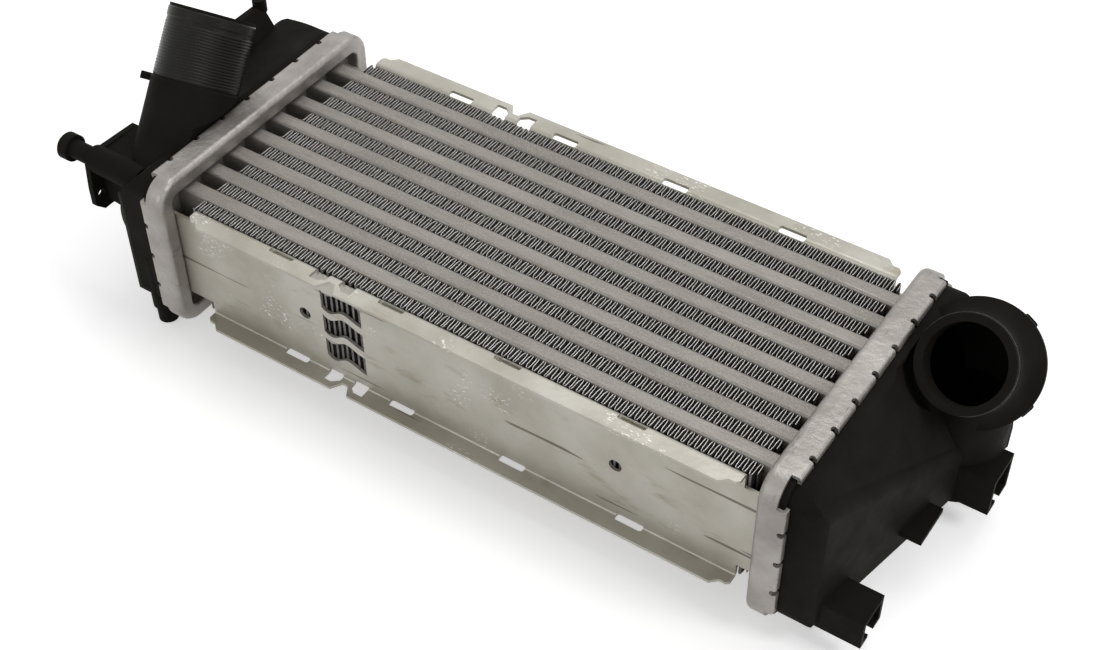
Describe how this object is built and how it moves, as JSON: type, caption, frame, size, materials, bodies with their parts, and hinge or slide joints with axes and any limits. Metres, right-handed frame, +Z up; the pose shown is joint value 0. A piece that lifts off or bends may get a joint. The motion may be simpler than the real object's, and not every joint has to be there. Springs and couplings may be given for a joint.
{
  "type": "intercooler",
  "caption": "Tube-and-fin charge air cooler with crimped header plates and moulded plastic end tanks, each with a hose port, plus a mounting pin, peg and sockets.",
  "frame": {"origin": "middle of the outer box in X and Y, at the lowest point, the end of the locating peg", "axes": "+X along the tubes from the inlet tank to the outlet tank, +Z up through the core's depth along the cooling air's path, +Y across the stack of tubes"},
  "size_m": [0.4417, 0.149, 0.1404],
  "materials": {
    "tube_aluminium": "matte brazed sheet",
    "fin_aluminium": "matte brazed strip",
    "header_aluminium": "satin pressed sheet",
    "side_aluminium": "matte sheet with brazing flux stains",
    "tank_plastic": "satin moulded, glass filled",
    "seal_rubber": "matte moulded"
  },
  "bodies": {
    "root": {"tube_1": "tube_aluminium", "inner_fin_1": "fin_aluminium", "tube_2": "tube_aluminium", "inner_fin_2": "fin_aluminium", "tube_3": "tube_aluminium", "inner_fin_3": "fin_aluminium", "tube_4": "tube_aluminium", "inner_fin_4": "fin_aluminium", "tube_5": "tube_aluminium", "inner_fin_5": "fin_aluminium", "tube_6": "tube_aluminium", "inner_fin_6": "fin_aluminium", "tube_7": "tube_aluminium", "inner_fin_7": "fin_aluminium", "tube_8": "tube_aluminium", "inner_fin_8": "fin_aluminium", "fin_1": "fin_aluminium", "fin_2": "fin_aluminium", "fin_3": "fin_aluminium", "fin_4": "fin_aluminium", "fin_5": "fin_aluminium", "fin_6": "fin_aluminium", "fin_7": "fin_aluminium", "fin_8": "fin_aluminium", "fin_9": "fin_aluminium", "header_plate_left": "header_aluminium", "gasket_left": "seal_rubber", "tank_left": "tank_plastic", "header_plate_right": "header_aluminium", "gasket_right": "seal_rubber", "tank_right": "tank_plastic", "side_plate_front": "side_aluminium", "side_plate_back": "side_aluminium"}
  },
  "joints": []
}
